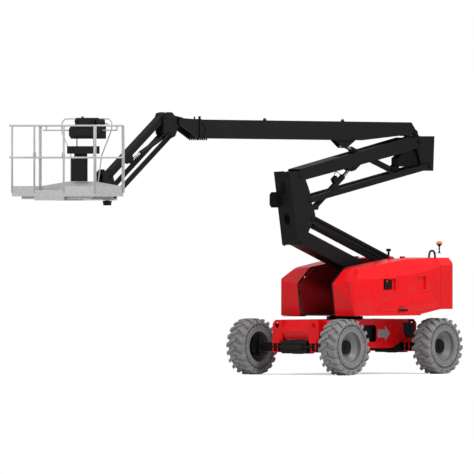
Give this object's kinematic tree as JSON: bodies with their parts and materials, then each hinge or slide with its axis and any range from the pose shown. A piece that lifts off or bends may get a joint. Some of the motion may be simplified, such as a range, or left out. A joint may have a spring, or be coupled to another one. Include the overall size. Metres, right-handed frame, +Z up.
{
  "type": "articulating boom lift",
  "caption": "Self-propelled articulating boom lift: four steered wheels, slewing turret, folding risers, telescopic boom and jib with a work platform.",
  "frame": {"origin": "point of the ground under the slewing axis, midway between the axles", "axes": "+X to the front, where the platform is, +Y to the left, +Z up"},
  "size_m": [9.7978, 2.342, 4.3783],
  "materials": {
    "red_paint": "gloss",
    "charcoal_paint": "satin",
    "black_paint": "matte",
    "galvanised": "matte",
    "grey_rim": "satin",
    "grey_tyre": "matte",
    "chrome_rod": "polished",
    "cast_steel": "matte",
    "console_plastic": "matte",
    "beacon_plastic": "gloss"
  },
  "bodies": {
    "chassis": {"chassis_frame": "red_paint", "front_axle": "cast_steel", "rear_axle": "cast_steel", "slew_ring": "black_paint"},
    "knuckle_front_left": {"knuckle_front_left": "cast_steel"},
    "knuckle_front_right": {"knuckle_front_right": "cast_steel"},
    "knuckle_rear_left": {"knuckle_rear_left": "cast_steel"},
    "knuckle_rear_right": {"knuckle_rear_right": "cast_steel"},
    "wheel_front_left": {"rim_front_left": "grey_rim", "tyre_front_left": "grey_tyre"},
    "wheel_front_right": {"rim_front_right": "grey_rim", "tyre_front_right": "grey_tyre"},
    "wheel_rear_left": {"rim_rear_left": "grey_rim", "tyre_rear_left": "grey_tyre"},
    "wheel_rear_right": {"rim_rear_right": "grey_rim", "tyre_rear_right": "grey_tyre"},
    "turret": {"turret_frame": "red_paint", "counterweight": "red_paint", "engine_block": "black_paint", "beacon": "beacon_plastic"},
    "cover_left": {"cover_left": "red_paint"},
    "cover_right": {"cover_right": "red_paint"},
    "lower_arm": {"lower_arm": "charcoal_paint"},
    "lower_link": {"lower_link": "charcoal_paint"},
    "riser_knuckle": {"riser_knuckle": "charcoal_paint"},
    "upper_arm": {"upper_arm": "charcoal_paint"},
    "upper_link": {"upper_link": "charcoal_paint"},
    "rear_link": {"rear_link": "charcoal_paint"},
    "boom_outer": {"boom_outer": "charcoal_paint"},
    "boom_inner": {"boom_inner": "charcoal_paint"},
    "boom_head": {"boom_head": "charcoal_paint"},
    "jib_arm": {"jib_arm": "charcoal_paint"},
    "jib_link": {"jib_link": "charcoal_paint"},
    "basket_mount": {"basket_mount": "charcoal_paint"},
    "basket": {"basket_frame": "galvanised", "basket_floor": "galvanised", "control_console": "console_plastic", "guard_hoop": "galvanised"},
    "gate_bar": {"gate_bar": "galvanised"},
    "riser_barrel": {"riser_barrel": "charcoal_paint"},
    "riser_rod": {"riser_rod": "chrome_rod"},
    "lift_barrel": {"lift_barrel": "charcoal_paint"},
    "lift_rod": {"lift_rod": "chrome_rod"},
    "jib_barrel": {"jib_barrel": "charcoal_paint"},
    "jib_rod": {"jib_rod": "chrome_rod"}
  },
  "joints": [
    {"name": "steer_front_left", "type": "hinge", "parent": "chassis", "child": "knuckle_front_left", "pos_m": [1.233, 0.8, 0.47], "axis": [0, 0, 1], "range_deg": [-33, 33]},
    {"name": "steer_front_right", "type": "hinge", "parent": "chassis", "child": "knuckle_front_right", "pos_m": [1.233, -0.8, 0.47], "axis": [0, 0, 1], "range_deg": [-33, 33]},
    {"name": "steer_rear_left", "type": "hinge", "parent": "chassis", "child": "knuckle_rear_left", "pos_m": [-1.233, 0.8, 0.47], "axis": [0, 0, 1], "range_deg": [-33, 33]},
    {"name": "steer_rear_right", "type": "hinge", "parent": "chassis", "child": "knuckle_rear_right", "pos_m": [-1.233, -0.8, 0.47], "axis": [0, 0, 1], "range_deg": [-33, 33]},
    {"name": "wheel_front_left", "type": "hinge", "parent": "knuckle_front_left", "child": "wheel_front_left", "pos_m": [1.233, 0.995, 0.47], "axis": [0, 1, 0], "continuous": true},
    {"name": "wheel_front_right", "type": "hinge", "parent": "knuckle_front_right", "child": "wheel_front_right", "pos_m": [1.233, -0.995, 0.47], "axis": [0, 1, 0], "continuous": true},
    {"name": "wheel_rear_left", "type": "hinge", "parent": "knuckle_rear_left", "child": "wheel_rear_left", "pos_m": [-1.233, 0.995, 0.47], "axis": [0, 1, 0], "continuous": true},
    {"name": "wheel_rear_right", "type": "hinge", "parent": "knuckle_rear_right", "child": "wheel_rear_right", "pos_m": [-1.233, -0.995, 0.47], "axis": [0, 1, 0], "continuous": true},
    {"name": "slew", "type": "hinge", "parent": "chassis", "child": "turret", "pos_m": [0, 0, 0.972], "axis": [0, 0, 1], "range_deg": [-175, 175]},
    {"name": "cover_left_open", "type": "hinge", "parent": "turret", "child": "cover_left", "pos_m": [-0.88, 0.376, 1.96], "axis": [1, 0, 0], "range_deg": [0, 60]},
    {"name": "cover_right_open", "type": "hinge", "parent": "turret", "child": "cover_right", "pos_m": [-0.88, -0.376, 1.96], "axis": [-1, 0, 0], "range_deg": [0, 60]},
    {"name": "riser_lower", "type": "hinge", "parent": "turret", "child": "lower_arm", "pos_m": [-1.19, 0, 1.363], "axis": [0, -1, 0], "range_deg": [-17, 48]},
    {"name": "lower_link_turn", "type": "hinge", "parent": "turret", "child": "lower_link", "pos_m": [-1.506, 0, 1.748], "axis": [0, -1, 0], "range_deg": [-17, 48]},
    {"name": "knuckle_level", "type": "hinge", "parent": "lower_arm", "child": "riser_knuckle", "pos_m": [1.36595, 0, 2.23312], "axis": [0, -1, 0], "range_deg": [-48, 17]},
    {"name": "riser_upper", "type": "hinge", "parent": "riser_knuckle", "child": "upper_arm", "pos_m": [1.36395, 0, 3.32612], "axis": [0, 1, 0], "range_deg": [-2.5, 52]},
    {"name": "upper_link_turn", "type": "hinge", "parent": "riser_knuckle", "child": "upper_link", "pos_m": [1.09995, 0, 2.91312], "axis": [0, 1, 0], "range_deg": [-2.5, 52]},
    {"name": "rear_link_level", "type": "hinge", "parent": "upper_arm", "child": "rear_link", "pos_m": [-1.82582, 0, 3.90005], "axis": [0, 1, 0], "range_deg": [-52, 2.5]},
    {"name": "boom_lift", "type": "hinge", "parent": "rear_link", "child": "boom_outer", "pos_m": [-1.71982, 0, 4.04005], "axis": [0, 1, 0], "range_deg": [-70, 3]},
    {"name": "telescope", "type": "slide", "parent": "boom_outer", "child": "boom_inner", "axis": [1, 0, 0.007], "range_m": [0, 3.4]},
    {"name": "head_level", "type": "hinge", "parent": "boom_inner", "child": "boom_head", "pos_m": [4.32899, 0, 4.23028], "axis": [0, 1, 0], "range_deg": [-3, 70]},
    {"name": "jib_lift", "type": "hinge", "parent": "boom_head", "child": "jib_arm", "pos_m": [4.74899, 0, 4.31028], "axis": [0, -1, 0], "range_deg": [-30, 85]},
    {"name": "jib_link_turn", "type": "hinge", "parent": "boom_head", "child": "jib_link", "pos_m": [4.65899, 0, 4.00028], "axis": [0, -1, 0], "range_deg": [-30, 85]},
    {"name": "basket_level", "type": "hinge", "parent": "jib_arm", "child": "basket_mount", "pos_m": [6.17841, 0, 3.30939], "axis": [0, -1, 0], "range_deg": [-85, 30]},
    {"name": "basket_rotate", "type": "hinge", "parent": "basket_mount", "child": "basket", "pos_m": [6.15, 0, 2.945], "axis": [0, 0, 1], "range_deg": [-90, 90]},
    {"name": "gate_slide", "type": "slide", "parent": "basket", "child": "gate_bar", "axis": [0, 0, 1], "range_m": [0, 0.4]},
    {"name": "riser_barrel_turn", "type": "hinge", "parent": "riser_knuckle", "child": "riser_barrel", "pos_m": [0.79995, 0, 2.80012], "axis": [0, -1, 0], "range_deg": [-47.1, 2.31]},
    {"name": "riser_rod_slide", "type": "slide", "parent": "riser_barrel", "child": "riser_rod", "axis": [-0.8253, 0, 0.5647], "range_m": [-0.0324, 0.6651]},
    {"name": "lift_barrel_turn", "type": "hinge", "parent": "rear_link", "child": "lift_barrel", "pos_m": [-1.21982, 0, 3.42005], "axis": [0, -1, 0], "range_deg": [-2.81, 64.38]},
    {"name": "lift_rod_slide", "type": "slide", "parent": "lift_barrel", "child": "lift_rod", "axis": [0.9515, 0, 0.3077], "range_m": [-0.039, 0.8979]},
    {"name": "jib_barrel_turn", "type": "hinge", "parent": "boom_head", "child": "jib_barrel", "pos_m": [4.65899, 0, 4.00028], "axis": [0, -1, 0], "range_deg": [-26.54, 75.11]},
    {"name": "jib_rod_slide", "type": "slide", "parent": "jib_barrel", "child": "jib_rod", "axis": [0.906, 0, -0.4233], "range_m": [-0.1361, 0.3846]}
  ],
  "couplings": [
    {"joint": "steer_front_right", "follows": "steer_front_left", "ratio": 1},
    {"joint": "steer_rear_right", "follows": "steer_rear_left", "ratio": 1},
    {"joint": "lower_link_turn", "follows": "riser_lower", "ratio": 1},
    {"joint": "knuckle_level", "follows": "riser_lower", "ratio": -1},
    {"joint": "upper_link_turn", "follows": "riser_upper", "ratio": 1},
    {"joint": "rear_link_level", "follows": "riser_upper", "ratio": -1},
    {"joint": "head_level", "follows": "boom_lift", "ratio": -1},
    {"joint": "jib_link_turn", "follows": "jib_lift", "ratio": 1},
    {"joint": "basket_level", "follows": "jib_lift", "ratio": -1},
    {"joint": "riser_barrel_turn", "follows": "riser_upper", "ratio": -0.9049},
    {"joint": "riser_rod_slide", "follows": "riser_upper", "m_per_rad": 0.73223},
    {"joint": "lift_barrel_turn", "follows": "boom_lift", "ratio": -0.91904},
    {"joint": "lift_rod_slide", "follows": "boom_lift", "m_per_rad": -0.73452},
    {"joint": "jib_barrel_turn", "follows": "jib_lift", "ratio": 0.883},
    {"joint": "jib_rod_slide", "follows": "jib_lift", "m_per_rad": 0.25892}
  ]
}
